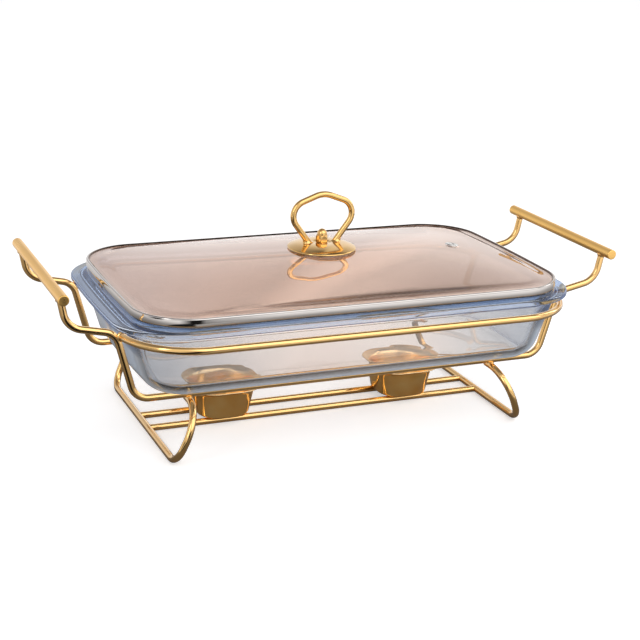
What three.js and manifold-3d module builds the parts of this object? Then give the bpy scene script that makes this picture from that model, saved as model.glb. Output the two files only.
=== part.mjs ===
// Chafing dish: a bent wire rack with two candle cups, a glass dish and a domed glass lid with a steel rim.
// Lengths are in millimetres and +Z is up. X runs along the long side and Y to the back.
// The origin is on the table, under the middle of the rack.
import * as THREE from 'three';
import { mergeVertices } from 'three/addons/utils/BufferGeometryUtils.js';
import Module from 'manifold-3d';

const wasm = await Module();
wasm.setup();

// Clearances: between pieces that rest on each other or are brazed, around a shank in its hole, past a cut
const seatGap = 0.3;
const holeGap = 0.3;
const overrun = 4;

// Smoothness of the curved surfaces
const wireSides = 12;
const turnStep = THREE.MathUtils.degToRad(18);
const platePitches = 28;
const lathePitches = 20;
const weldTolerance = 1e-4;
const bendSteps = 4;

// Long wires: each runs from one grip down, in to the dish, under it and back up to the other grip
const wireDiameter = 6;
const longWireSpacing = 140.4;
const elbowSpacing = 476.6;
const elbowHeight = 118;
const elbowBend = 17.5;
const saddleSpacing = 400;
const saddleHeight = 110;
const saddleBend = 14.5;
const cradleLength = 369;
const cradleHeight = 53.2;
const cradleBend = 15;

// Grips
const gripDiameter = 8.8;
const gripLength = 171;
const gripSpacing = 487;
const gripHeight = 144.7;
const gripChamfer = 0.8;

// Gallery rails: bowed wires in front of the dish's flange and behind it, brazed to the long wires.
// The insets are from the long wires' saddles
const galleryClearance = 7.8;
const galleryHeight = 107.6;
const galleryCornerInset = 10.7;
const galleryEndInset = 4;
const galleryBend = 59.5;

// Leg frames: a floor bar whose two sides bulge out, lean in and pass under the long wires
const floorBarSpacing = 315;
const legLean = THREE.MathUtils.degToRad(22.8);
const legFootWidth = 186;
const legShoulderWidth = 196;
const legTipWidth = 122;
const legFootBend = 15.5;
const legShoulderBend = 26;

// Candle rails, which lie on the table between the leg frames and carry the cups
const candleRailSpacing = 28.8;

// Candle cups: square with wide corners, tapered and flared at the mouth
const leftCupX = -88;
const rightCupX = 84;
const cupBaseWidth = 47;
const cupNeckWidth = 54.5;
const cupMouthWidth = 64;
const cupHeight = 26.6;
const cupNeckHeight = 21;
const cupSheet = 1;
const cupBaseBend = 3;
const cupCorner = 22.5;
const cupLipRound = 0.35;

// Glass dish, whose walls lean out from the heel up to the flange.
// It stands a little right of the rack's middle
const dishShift = 2;
const dishGlass = 5.5;
const dishLength = 382;
const dishWidth = 216;
const dishCorner = 44.7;
const dishBow = 3;
const dishLean = THREE.MathUtils.degToRad(16.5);
const heelBend = 21;
const dishFillet = 3;
const flangeLength = 403.2;
const flangeWidth = 224.4;
const flangeCorner = 48.9;
const flangeBow = 3.8;
const flangeThickness = 5;
const flangeRound = 1.6;
const mouthInset = 0.8;
const mouthLand = 8;
const mouthHeight = 4;
const mouthRound = 0.8;

// Lid: the outline is that of the rim's outer face
const lidLength = 375.6;
const lidWidth = 224;
const lidCorner = 45.6;
const lidBow = 3.1;
const paneThickness = 5;
const paneCrown = 17.2;
const paneLand = 14;
const paneLeastCorner = 12;
const rimSheet = 0.8;
const rimTopLip = 3;
const rimBottomLip = 4;
const rimRound = 1.6;

// Steam vent, an eyelet through the pane
const ventX = 128;
const ventBore = 3.6;
const ventShank = 6;
const ventFlange = 12;
const ventFlangeThickness = 0.9;
const ventSeatGap = 0.4;

// Knob: screw, washer, gasket, domed plate, bent wire loop and cap nut. The plate's edge rests on the pane,
// its hollow holds the gasket, and the nut sits in a shallow seat on top
const screwDiameter = 6;
const screwHeadDiameter = 12.4;
const screwHeadHeight = 3.2;
const screwSlotWidth = 1.4;
const screwSlotDepth = 1.4;
const screwChamfer = 1;
const washerDiameter = 18;
const washerThickness = 1.5;
const gasketDiameter = 38;
const gasketThickness = 1.3;
const plateDiameter = 59.6;
const plateEdge = 1.2;
const plateHeight = 5;
const plateTopDiameter = 22;
const plateSeatDiameter = 14;
const plateSeatDepth = 0.8;
const loopDiameter = 5.4;
const loopFootSpacing = 23.2;
const loopFootRise = 4;
const loopShoulderSpacing = 70;
const loopShoulderRise = 35.2;
const loopRise = 48.2;
const loopShoulderBend = 13;
const loopTopBend = 20;
const nutAcross = 9.8;
const nutHexHeight = 6.6;
const nutHexChamfer = 0.7;
const nutDomeDiameter = 8.6;
const nutHeight = 12.2;
const nutThreadDepth = 9.4;

// Levels that follow from the sizes above
const wireRadius = wireDiameter / 2;
const flatAngle = Math.PI / wireSides;
const railZ = wireRadius * Math.cos(flatAngle);
const longWireY = longWireSpacing / 2;
const dishZ = cradleHeight + wireRadius + seatGap;
const flangeZ = saddleHeight + wireRadius + seatGap;
const mouthZ = flangeZ + flangeThickness + mouthHeight;
const rimZ = mouthZ + seatGap;
const paneZ = rimZ + rimSheet + seatGap;
const rimHeight = paneThickness + 2 * (rimSheet + seatGap);
const paneTopZ = paneZ + paneThickness + paneCrown;

// Finishes
const finishes = {
  polishedGold: { color: 0xd9a441, roughness: 0.12, metalness: 1 },
  satinGold: { color: 0xe0b878, roughness: 0.35, metalness: 1 },
  steel: { color: 0xc9c6c2, roughness: 0.15, metalness: 1 },
  clearGlass: { color: 0xc4d4e4, roughness: 0.03, metalness: 0 },
  tintedGlass: { color: 0xc8b0a8, roughness: 0.03, metalness: 0 },
  silicone: { color: 0xe6e2dc, roughness: 0.6, metalness: 0 },
};

function named(name, geometry, finish) {
  const mesh = new THREE.Mesh(geometry, new THREE.MeshStandardMaterial(finishes[finish]));
  mesh.name = name;
  return mesh;
}

function vec(x, y, z) {
  return new THREE.Vector3(x, y, z);
}

// Solids for joins and cuts
function toSolid(geometry) {
  const bare = geometry.clone();
  bare.deleteAttribute('normal');
  bare.deleteAttribute('uv');
  const welded = mergeVertices(bare, weldTolerance);
  const vertProperties = new Float32Array(welded.attributes.position.array);
  const triVerts = new Uint32Array(welded.index.array);
  return new wasm.Manifold(new wasm.Mesh({ numProp: 3, vertProperties, triVerts }));
}

function toGeometry(solid) {
  const mesh = solid.getMesh();
  const geometry = new THREE.BufferGeometry();
  geometry.setAttribute('position', new THREE.BufferAttribute(mesh.vertProperties, 3));
  geometry.setIndex(new THREE.BufferAttribute(mesh.triVerts, 1));
  geometry.computeVertexNormals();
  return geometry;
}

function cut(geometry, ...cutters) {
  return toGeometry(cutters.reduce((rest, cutter) => rest.subtract(toSolid(cutter)), toSolid(geometry)));
}

// A path through given stations, so that a sweep along it has one ring at each
class StationPath extends THREE.Curve {
  constructor(stations) {
    super();
    this.stations = stations;
  }
  getPoint(share, target = new THREE.Vector3()) {
    const last = this.stations.length - 1;
    const index = Math.min(Math.floor(share * last), last - 1);
    return target.lerpVectors(this.stations[index], this.stations[index + 1], share * last - index);
  }
  getUtoTmapping(share) {
    return share;
  }
}

// Stations along straight runs between corners, with an arc of the given radius at each corner but the ends
function bentStations(corners) {
  const stations = [corners[0].at];
  for (let i = 1; i < corners.length - 1; i += 1) {
    const { at, bend } = corners[i];
    const back = corners[i - 1].at.clone().sub(at).normalize();
    const ahead = corners[i + 1].at.clone().sub(at).normalize();
    const half = back.angleTo(ahead) / 2;
    const middle = back.clone().add(ahead).normalize();
    const centre = at.clone().addScaledVector(middle, bend / Math.sin(half));
    const side = ahead.clone().sub(back).normalize();
    const turn = Math.PI / 2 - half;
    const steps = Math.ceil(2 * turn / turnStep);
    for (let k = 0; k <= steps; k += 1) {
      const angle = turn * (2 * k / steps - 1);
      const out = middle.clone().multiplyScalar(-Math.cos(angle)).addScaledVector(side, Math.sin(angle));
      stations.push(centre.clone().addScaledVector(out, bend));
    }
  }
  stations.push(corners.at(-1).at);
  return stations;
}

function wire(corners, diameter) {
  const stations = bentStations(corners);
  const section = new THREE.Shape();
  section.absarc(0, 0, diameter / 2, flatAngle, flatAngle + 2 * Math.PI);
  return new THREE.ExtrudeGeometry(section, {
    steps: stations.length - 1,
    curveSegments: wireSides / 2,
    extrudePath: new StationPath(stations),
  });
}

// A turned piece about the Z axis, from [radius, height] points that start and end on the axis or close
function turned(profile, pitches = lathePitches) {
  const points = profile.map(([radius, height]) => new THREE.Vector2(radius, height));
  return new THREE.LatheGeometry(points, pitches).rotateX(Math.PI / 2);
}

// A turned ring about the Z axis between two heights
function ring(inner, outer, low, high) {
  return turned([[inner, low], [outer, low], [outer, high], [inner, high], [inner, low]]);
}

// Shares from 0 to 1, both included
function shares(steps) {
  return Array.from({ length: steps + 1 }, (_, k) => k / steps);
}

// A closed outline: a rectangle with round corners, whose short sides bow out, drawn in by an inset.
// The point count follows the shape's steps alone, so that outlines of one shape can be joined into a skin
function outline({ length, width, corner, bow = 0, leastCorner = 0, steps }, inset = 0) {
  const x = length / 2 - inset;
  const y = width / 2 - inset;
  const radius = Math.max(corner - inset, leastCorner);
  const signs = [[1, 1], [-1, 1], [-1, -1], [1, -1]];
  const arcs = signs.map(([signX, signY], quarter) => shares(steps.corner).map((share) => {
    const angle = (quarter + share) * Math.PI / 2;
    return [signX * (x - radius) + radius * Math.cos(angle), signY * (y - radius) + radius * Math.sin(angle)];
  }));
  const points = arcs.flatMap((arc, quarter) => {
    const [fromX, fromY] = arc.at(-1);
    const [toX, toY] = arcs[(quarter + 1) % arcs.length][0];
    const sideSteps = quarter % 2 === 0 ? steps.long : steps.short;
    const side = shares(sideSteps).slice(1, -1);
    return [...arc, ...side.map((share) => [fromX + (toX - fromX) * share, fromY + (toY - fromY) * share])];
  });
  return points.map(([px, py]) => [px + Math.sign(px) * bow * (1 - (py / y) ** 2), py]);
}

// A skin over rings of equal count. It closes at a point at both ends, or back on itself
function skin(rings, closed = false) {
  const count = rings.find((points) => points.length > 1).length;
  const position = [];
  const starts = rings.map((points) => {
    const start = position.length / 3;
    points.forEach((point) => position.push(...point));
    return start;
  });
  const index = [];
  const pairs = closed ? rings.length : rings.length - 1;
  for (let i = 0; i < pairs; i += 1) {
    const j = (i + 1) % rings.length;
    for (let k = 0; k < count; k += 1) {
      const next = (k + 1) % count;
      const a = starts[i] + (rings[i].length > 1 ? k : 0);
      const b = starts[i] + (rings[i].length > 1 ? next : 0);
      const c = starts[j] + (rings[j].length > 1 ? next : 0);
      const d = starts[j] + (rings[j].length > 1 ? k : 0);
      if (a !== b) index.push(a, b, c);
      if (c !== d) index.push(a, c, d);
    }
  }
  const geometry = new THREE.BufferGeometry();
  geometry.setAttribute('position', new THREE.Float32BufferAttribute(position, 3));
  geometry.setIndex(index);
  geometry.computeVertexNormals();
  return geometry;
}

function level(shape, inset, z) {
  return outline(shape, inset).map(([x, y]) => [x, y, z]);
}

// Corners of a long wire, from the left grip to the right one
function longWireCorners(side) {
  const y = side * longWireY;
  const half = [
    { at: vec(gripSpacing / 2, y, gripHeight) },
    { at: vec(elbowSpacing / 2, y, elbowHeight), bend: elbowBend },
    { at: vec(saddleSpacing / 2, y, saddleHeight), bend: saddleBend },
    { at: vec(cradleLength / 2, y, cradleHeight), bend: cradleBend },
  ];
  const left = half.map(({ at, bend }) => ({ at: vec(-at.x, at.y, at.z), bend }));
  return [...left, ...half.reverse()];
}

function gripBlank(side, gap = 0) {
  const radius = gripDiameter / 2 + gap;
  const half = gripLength / 2 + gap;
  const profile = [
    [0, -half], [radius - gripChamfer, -half], [radius, gripChamfer - half],
    [radius, half - gripChamfer], [radius - gripChamfer, half], [0, half],
  ];
  const points = profile.map(([r, y]) => new THREE.Vector2(r, y));
  return new THREE.LatheGeometry(points, lathePitches).translate(side * gripSpacing / 2, 0, gripHeight);
}

// The posts' tops are notched round the grips that they carry
function longWire(name, side) {
  const blank = wire(longWireCorners(side), wireDiameter);
  return named(name, cut(blank, gripBlank(-1, seatGap), gripBlank(1, seatGap)), 'polishedGold');
}

function grip(name, side) {
  return named(name, gripBlank(side), 'satinGold');
}

// The rail's ends are notched round the flanks of the long wire
function galleryRail(name, side) {
  const y = side * (flangeWidth / 2 + galleryClearance + wireRadius);
  const endY = side * longWireY;
  const endX = saddleSpacing / 2 - galleryEndInset;
  const cornerX = saddleSpacing / 2 - galleryCornerInset;
  const corners = [
    { at: vec(-endX, endY, galleryHeight) },
    { at: vec(-cornerX, y, galleryHeight), bend: galleryBend },
    { at: vec(cornerX, y, galleryHeight), bend: galleryBend },
    { at: vec(endX, endY, galleryHeight) },
  ];
  const notch = wire(longWireCorners(side), wireDiameter + 2 * seatGap);
  return named(name, cut(wire(corners, wireDiameter), notch), 'polishedGold');
}

// The frame lies in a plane that leans in over the dish's middle
function legFrame(name, side) {
  const topZ = cradleHeight - wireDiameter - seatGap;
  const at = (y, z) => vec(side * (floorBarSpacing / 2 - (z - wireRadius) * Math.tan(legLean)), y, z);
  const half = [
    { at: at(legFootWidth / 2, wireRadius), bend: legFootBend },
    { at: at(legShoulderWidth / 2, topZ), bend: legShoulderBend },
    { at: at(legTipWidth / 2, topZ) },
  ];
  const rear = half.map(({ at: point, bend }) => ({ at: vec(point.x, -point.y, point.z), bend }));
  return named(name, wire([...rear.reverse(), ...half], wireDiameter), 'polishedGold');
}

// The rail lies on one flat of its section, and its ends are notched round the floor bars
function candleRail(name, side) {
  const y = side * candleRailSpacing / 2;
  const endX = floorBarSpacing / 2;
  const rail = wire([{ at: vec(-endX, y, railZ) }, { at: vec(endX, y, railZ) }], wireDiameter);
  const notches = [-endX, endX].map((x) => {
    const ends = [-1, 1].map((end) => ({ at: vec(x, y + end * (wireDiameter + overrun), wireRadius) }));
    return wire(ends, wireDiameter + 2 * seatGap);
  });
  return named(name, cut(rail, ...notches), 'polishedGold');
}

// The arc between a level floor and a wall that leans out, as [inset from the wall's foot, height] points
function floorArc(radius, lean, centreInset, centreZ) {
  const sweep = Math.PI / 2 - lean;
  return shares(bendSteps).map((share) => {
    const angle = share * sweep;
    return [centreInset - radius * Math.sin(angle), centreZ - radius * Math.cos(angle)];
  });
}

function cup(name, x) {
  const flareShares = [[0, 0], [0.18, 0.46], [0.5, 0.8]];
  const steps = { corner: 5, long: 2, short: 2 };
  const square = (width) => ({ length: width, width, corner: cupCorner, steps });
  const base = wireDiameter + seatGap;
  const lean = Math.atan((cupNeckWidth - cupBaseWidth) / 2 / cupNeckHeight);
  const arcInset = (cupNeckWidth - cupBaseWidth) / 2 + cupBaseBend;
  const floorRings = (radius) => floorArc(radius, lean, arcInset, base + cupBaseBend)
    .map(([inset, z]) => level(square(cupNeckWidth), inset, z));
  const flareHeight = cupHeight - cupSheet - cupNeckHeight;
  const flareRings = (inset, lift) => flareShares.map(([out, up]) => {
    const width = cupNeckWidth + out * (cupMouthWidth - cupNeckWidth);
    return level(square(width), inset, base + cupNeckHeight + up * flareHeight + lift);
  });
  const rings = [
    [[0, 0, base]],
    ...floorRings(cupBaseBend),
    ...flareRings(0, 0),
    level(square(cupMouthWidth), cupLipRound, base + cupHeight - cupSheet),
    level(square(cupMouthWidth), 0, base + cupHeight - cupSheet / 2),
    level(square(cupMouthWidth), cupLipRound, base + cupHeight),
    ...flareRings(cupSheet, cupSheet / 2).reverse(),
    ...floorRings(cupBaseBend - cupSheet).reverse(),
    [[0, 0, base + cupSheet]],
  ];
  return named(name, skin(rings).translate(x, 0, 0), 'polishedGold');
}

const lidSteps = { corner: 7, long: 6, short: 4 };
const lidShape = {
  length: lidLength,
  width: lidWidth,
  corner: lidCorner,
  bow: lidBow,
  leastCorner: paneLeastCorner,
  steps: lidSteps,
};
const mouthShape = {
  length: lidLength - 2 * mouthInset,
  width: lidWidth - 2 * mouthInset,
  corner: lidCorner - mouthInset,
  bow: lidBow,
  steps: lidSteps,
};
const flangeShape = {
  length: flangeLength,
  width: flangeWidth,
  corner: flangeCorner,
  bow: flangeBow,
  steps: lidSteps,
};
const dishShape = {
  length: dishLength,
  width: dishWidth,
  corner: dishCorner,
  bow: dishBow,
  steps: lidSteps,
};

// The walls' insets grow towards the heel, and an arc joins them to the floor
function glassDish() {
  const flangeTop = flangeZ + flangeThickness;
  const slope = Math.tan(dishLean);
  const arcZ = dishZ + heelBend;
  const wallFoot = arcZ - heelBend * Math.sin(dishLean);
  const arcInset = (flangeZ - wallFoot) * slope + heelBend * Math.cos(dishLean);
  const heelRings = (radius) => floorArc(radius, dishLean, arcInset, arcZ)
    .map(([inset, z]) => level(dishShape, inset, z));
  const innerWallInset = dishGlass / Math.cos(dishLean);
  const rings = [
    [[0, 0, dishZ]],
    ...heelRings(heelBend),
    level(dishShape, dishFillet * slope, flangeZ - dishFillet),
    level(dishShape, -dishFillet, flangeZ),
    level(flangeShape, flangeRound, flangeZ),
    level(flangeShape, 0, flangeZ + flangeRound),
    level(flangeShape, 0, flangeTop - flangeRound),
    level(flangeShape, flangeRound, flangeTop),
    level(mouthShape, 0, flangeTop),
    level(mouthShape, 0, mouthZ - mouthRound),
    level(mouthShape, mouthRound, mouthZ),
    level(mouthShape, mouthLand - mouthRound, mouthZ),
    level(mouthShape, mouthLand, mouthZ - mouthRound),
    level(dishShape, innerWallInset, flangeZ),
    ...heelRings(heelBend - dishGlass).reverse(),
    [[0, 0, dishZ + dishGlass]],
  ];
  return named('glass_dish', skin(rings), 'clearGlass');
}

// How far the pane rises above its edge: an arch across, which falls off towards both ends, with a level land
// under the rim
function paneRise(x, y, inset) {
  const fallPower = 2.4;
  const along = 1 - Math.min(Math.abs(x) / (lidLength / 2), 1) ** fallPower;
  const across = Math.cos(Math.min(Math.abs(y) / (lidWidth / 2), 1) * Math.PI / 2);
  return paneCrown * along * across * THREE.MathUtils.smoothstep(inset, rimTopLip, rimTopLip + paneLand);
}

// Rings of the pane from its edge to the middle: first drawn in from the rim, then as shares of the last
// of these
function paneRings() {
  const landShares = [0, 0.4, 0.7, 1];
  const wallShares = [0.14, 0.32];
  const middleShares = [0.74, 0.46, 0.16];
  const wall = wallShares.map((share) => rimTopLip + paneLand + share * lidWidth / 2);
  const insets = [rimSheet + seatGap, ...landShares.map((share) => rimTopLip + share * paneLand), ...wall];
  const last = insets.at(-1);
  const risen = (points, inset) => points.map(([x, y]) => [x, y, paneRise(x, y, inset)]);
  const shrunk = (points, share) => points.map(([x, y]) => [x * share, y * share]);
  const outer = insets.map((inset) => risen(outline(lidShape, inset), inset));
  const middle = middleShares.map((share) => risen(shrunk(outline(lidShape, last), share), last));
  return [...outer, ...middle, [[0, 0, paneCrown]]];
}

// The vent stands square to the pane, which slopes where it sits
function ventFrame() {
  const riseAt = (x) => paneRise(x, 0, lidLength / 2 - x);
  const slope = (riseAt(ventX + overrun) - riseAt(ventX - overrun)) / (2 * overrun);
  return { tilt: -Math.atan(slope), z: paneZ + paneThickness + riseAt(ventX) };
}

function atVent(geometry) {
  const { tilt, z } = ventFrame();
  return geometry.rotateY(tilt).translate(ventX, 0, z);
}

function pane() {
  const top = paneRings().map((points) => points.map(([x, y, rise]) => [x, y, paneZ + paneThickness + rise]));
  const bottom = paneRings().map((points) => points.map(([x, y, rise]) => [x, y, paneZ + rise]));
  const blank = skin([...bottom.reverse(), ...top]);
  const drillHalf = paneThickness + overrun;
  const screwHole = ring(0, screwDiameter / 2 + holeGap, paneTopZ - drillHalf, paneTopZ + overrun);
  const ventHole = atVent(ring(0, ventShank / 2 + holeGap, -drillHalf, overrun));
  return named('lid_pane', cut(blank, screwHole, ventHole), 'tintedGlass');
}

// A folded steel strip, round outside, that holds the edge of the pane
function lidRim() {
  const low = rimZ;
  const high = rimZ + rimHeight;
  const roundShare = 0.3;
  const round = rimRound * roundShare;
  const profile = [
    [rimBottomLip, low], [rimRound, low], [round, low + round], [0, low + rimRound],
    [0, high - rimRound], [round, high - round], [rimRound, high], [rimTopLip, high],
    [rimTopLip, high - rimSheet], [rimSheet, high - rimSheet], [rimSheet, low + rimSheet],
    [rimBottomLip, low + rimSheet],
  ];
  return named('lid_rim', skin(profile.map(([inset, z]) => level(lidShape, inset, z)), true), 'steel');
}

function ventEyelet() {
  const low = -paneThickness - ventSeatGap;
  const shank = ventShank / 2;
  const flange = ventFlange / 2;
  const thin = ventFlangeThickness;
  const profile = [
    [ventBore / 2, low - thin], [flange - thin, low - thin], [flange, low], [shank, low],
    [shank, ventSeatGap], [flange, ventSeatGap], [flange - thin, ventSeatGap + thin],
    [ventBore / 2, ventSeatGap + thin],
    [ventBore / 2, low - thin],
  ];
  return named('vent_eyelet', atVent(turned(profile)), 'steel');
}

// Heights of the knob's stack, from the gasket up and from the washer down
const gasketZ = paneTopZ + seatGap;
const plateZ = paneTopZ + seatGap;
const plateSeatZ = plateZ + plateHeight - plateSeatDepth;
const nutZ = plateSeatZ + seatGap;
const washerZ = paneTopZ - paneThickness - seatGap - washerThickness;
const screwHeadZ = washerZ - seatGap - screwHeadHeight;

function knobScrew() {
  const crownShare = 0.7;
  const head = screwHeadDiameter / 2;
  const shank = screwDiameter / 2;
  const tip = nutZ + nutThreadDepth - 2 * seatGap;
  const top = screwHeadZ + screwHeadHeight;
  const blank = turned([
    [0, screwHeadZ], [head * crownShare, screwHeadZ], [head, screwHeadZ + screwHeadHeight / 2], [head, top],
    [shank, top], [shank, tip - screwChamfer], [shank - screwChamfer, tip], [0, tip],
  ]);
  const slot = new THREE.BoxGeometry(screwHeadDiameter + overrun, screwSlotWidth, 2 * screwSlotDepth);
  return named('knob_screw', cut(blank, slot.translate(0, 0, screwHeadZ)), 'steel');
}

function knobWasher() {
  const hole = screwDiameter / 2 + holeGap;
  return named('knob_washer', ring(hole, washerDiameter / 2, washerZ, washerZ + washerThickness), 'silicone');
}

function knobGasket() {
  const hole = screwDiameter / 2 + holeGap;
  return named('knob_gasket', ring(hole, gasketDiameter / 2, gasketZ, gasketZ + gasketThickness), 'silicone');
}

// The loop is a lozenge with a round top. Its feet pass into the plate
function loopBlank(gap = 0) {
  const foot = plateZ + loopFootRise;
  const shoulder = { at: vec(loopShoulderSpacing / 2, 0, plateZ + loopShoulderRise), bend: loopShoulderBend };
  const footEnd = vec(loopFootSpacing / 2, 0, foot);
  const legDirection = shoulder.at.clone().sub(footEnd).normalize();
  const half = [{ at: footEnd.addScaledVector(legDirection, -gap) }, shoulder];
  const left = half.map(({ at, bend }) => ({ at: vec(-at.x, at.y, at.z), bend }));
  const top = { at: vec(0, 0, plateZ + loopRise), bend: loopTopBend };
  return wire([...left, top, ...half.reverse()], loopDiameter + 2 * gap);
}

function knobPlate() {
  const seat = plateSeatDiameter / 2;
  const top = plateTopDiameter / 2;
  const edge = plateDiameter / 2;
  const hollow = gasketDiameter / 2 + seatGap;
  const hollowZ = gasketZ + gasketThickness + seatGap;
  const crownShares = [[0.8, 0.4], [0.55, 0.72], [0.3, 0.92]];
  const rise = plateHeight - plateEdge;
  const crown = crownShares.map(([out, up]) => [top + out * (edge - top), plateZ + plateEdge + up * rise]);
  const blank = turned([
    [0, hollowZ], [hollow, hollowZ], [hollow, plateZ], [edge - plateEdge / 2, plateZ],
    [edge, plateZ + plateEdge / 2], [edge, plateZ + plateEdge], ...crown, [top, plateZ + plateHeight],
    [seat + plateSeatDepth, plateZ + plateHeight], [seat, plateSeatZ], [0, plateSeatZ],
  ], platePitches);
  const hole = ring(0, screwDiameter / 2 + holeGap, plateZ - overrun, plateZ + plateHeight + overrun);
  return named('knob_plate', cut(blank, hole, loopBlank(seatGap)), 'polishedGold');
}

function knobLoop() {
  return named('knob_loop', loopBlank(), 'polishedGold');
}

// A hexagon with turned corners under a dome, with a blind bore for the screw
function knobNut() {
  const corner = nutAcross / 2 / Math.cos(Math.PI / 6);
  const hexTop = nutZ + nutHexHeight;
  const hex = new THREE.CylinderGeometry(corner, corner, nutHexHeight, 6).rotateX(Math.PI / 2);
  hex.translate(0, 0, nutZ + nutHexHeight / 2);
  const turnedCorners = turned([
    [0, nutZ], [corner - nutHexChamfer, nutZ], [corner, nutZ + nutHexChamfer],
    [corner, hexTop - nutHexChamfer], [corner - nutHexChamfer, hexTop], [0, hexTop],
  ]);
  const domeRadius = nutDomeDiameter / 2;
  const domeShares = [[1, 0], [1, 0.2], [0.92, 0.52], [0.71, 0.81], [0.38, 0.96]];
  const dome = turned([
    [0, nutZ + nutHexHeight / 2],
    [domeRadius, nutZ + nutHexHeight / 2],
    ...domeShares.map(([out, up]) => [domeRadius * out, hexTop + up * (nutHeight - nutHexHeight)]),
    [0, nutZ + nutHeight],
  ]);
  const bore = ring(0, screwDiameter / 2 + holeGap, nutZ - overrun, nutZ + nutThreadDepth);
  const body = toSolid(hex).intersect(toSolid(turnedCorners)).add(toSolid(dome)).subtract(toSolid(bore));
  return named('knob_nut', toGeometry(body), 'polishedGold');
}

function rack() {
  const group = new THREE.Group();
  group.add(longWire('front_long_wire', -1), longWire('rear_long_wire', 1));
  group.add(galleryRail('front_gallery_rail', -1), galleryRail('rear_gallery_rail', 1));
  group.add(legFrame('left_leg_frame', -1), legFrame('right_leg_frame', 1));
  group.add(candleRail('front_candle_rail', -1), candleRail('rear_candle_rail', 1));
  group.add(grip('left_grip', -1), grip('right_grip', 1));
  return group;
}

function lid() {
  const group = new THREE.Group();
  group.add(pane(), lidRim(), ventEyelet());
  group.add(knobScrew(), knobWasher(), knobGasket(), knobPlate(), knobLoop(), knobNut());
  return group;
}

const coveredDish = new THREE.Group();
coveredDish.add(glassDish(), lid());
coveredDish.position.x = dishShift;

const chafingDish = new THREE.Group();
chafingDish.add(rack(), cup('left_candle_cup', leftCupX), cup('right_candle_cup', rightCupX), coveredDish);

export default chafingDish;
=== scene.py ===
"""Chafing dish: looks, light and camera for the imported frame. Sizes are in millimetres until a mesh is made."""

import math

import bmesh
import bpy
from mathutils import Matrix, Vector


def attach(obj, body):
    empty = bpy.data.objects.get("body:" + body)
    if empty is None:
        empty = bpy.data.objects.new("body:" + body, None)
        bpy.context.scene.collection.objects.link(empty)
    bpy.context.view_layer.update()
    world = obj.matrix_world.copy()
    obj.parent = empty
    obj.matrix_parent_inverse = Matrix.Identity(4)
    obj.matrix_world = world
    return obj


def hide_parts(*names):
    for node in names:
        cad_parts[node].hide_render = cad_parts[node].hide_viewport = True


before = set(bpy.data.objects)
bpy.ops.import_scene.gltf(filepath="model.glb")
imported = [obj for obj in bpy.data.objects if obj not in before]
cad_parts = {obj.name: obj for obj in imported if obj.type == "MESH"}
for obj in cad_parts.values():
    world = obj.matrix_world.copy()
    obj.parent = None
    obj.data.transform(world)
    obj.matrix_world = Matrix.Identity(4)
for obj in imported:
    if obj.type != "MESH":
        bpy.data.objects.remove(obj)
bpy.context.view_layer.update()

MM = 0.001
TURN = math.tau

# Sizes shared with the solids. X is measured along the dish, Y across it, Z up from the floor
SEAT = 0.3
WIRE = 3.0
LONG_Y = 70.2
GRIP_X, GRIP_Z, GRIP_R, GRIP_HALF = 243.5, 144.7, 4.4, 85.5
ELBOW_X, ELBOW_Z, ELBOW_BEND = 238.3, 118.0, 17.5
SADDLE_X, SADDLE_Z, SADDLE_BEND = 200.0, 110.0, 14.5
CRADLE_X, CRADLE_Z, CRADLE_BEND = 184.5, 53.2, 15.0
GALLERY_END_X, GALLERY_CORNER_X, GALLERY_Y, GALLERY_Z, GALLERY_BEND = 196.0, 189.3, 123.0, 107.6, 59.5
FLOOR_BAR_X = 157.5
RAIL_Y, RAIL_Z, RAIL_R = 14.4, 2.898, 2.9
LEG_Y, LEG_BULGE_Y, LEG_TOP_Y, LEG_TOP_Z = 93.0, 98.0, 61.0, 46.9
LEG_FLOOR_BEND, LEG_TOP_BEND = 15.5, 26.0
LEG_LEAN = math.tan(math.radians(22.8))
CUP_Z = 6.3
LEFT_CUP_X, RIGHT_CUP_X = -88.0, 84.0
DISH_SHIFT = 2.0
DISH_Z = 56.5
FLANGE_Z = 113.3
FLANGE_TOP = 118.3
MOUTH_Z = 122.3
RIM_Z, RIM_H = 122.6, 7.2
PANE_Z = 123.7
PANE_T = 5.0
CROWN = 17.2
PANE_TOP = PANE_Z + PANE_T + CROWN
VENT_X = 128.0
HOLE_R = 3.3
PLATE_Z = PANE_TOP + SEAT
PLATE_R, PLATE_T, PLATE_FLAT_R = 29.8, 5.0, 11.0
LOOP_R = 2.7
NUT_Z = PLATE_Z + 4.5
NUT_ACROSS = 9.8


# ---------------------------------------------------------------- meshes
def make(name, verts, faces, material, body, node=None, smooth=35, shift=0.0):
    """A mesh piece that rides on a body. Its points are in millimetres."""
    mesh = bpy.data.meshes.new(name)
    mesh.from_pydata([((x + shift) * MM, y * MM, z * MM) for x, y, z in verts], [], faces)
    bm = bmesh.new()
    bm.from_mesh(mesh)
    bmesh.ops.recalc_face_normals(bm, faces=bm.faces)
    bm.to_mesh(mesh)
    bm.free()
    mesh.shade_smooth()
    mesh.set_sharp_from_angle(angle=math.radians(smooth))
    mesh.materials.append(material)
    obj = bpy.data.objects.new(name, mesh)
    bpy.context.scene.collection.objects.link(obj)
    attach(obj, body)
    if node:
        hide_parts(node)
    return obj


def skin(rings, closed=False):
    """Faces over rings of one count. A ring of one point closes an end."""
    count = max(len(r) for r in rings)
    verts, starts = [], []
    for ring in rings:
        starts.append(len(verts))
        verts.extend(ring)
    faces = []
    pairs = len(rings) if closed else len(rings) - 1
    for i in range(pairs):
        j = (i + 1) % len(rings)
        a, b = starts[i], starts[j]
        for k in range(count):
            n = (k + 1) % count
            if len(rings[i]) == 1:
                faces.append((a, b + n, b + k))
            elif len(rings[j]) == 1:
                faces.append((a + k, a + n, b))
            else:
                faces.append((a + k, a + n, b + n, b + k))
    return verts, faces


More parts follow.
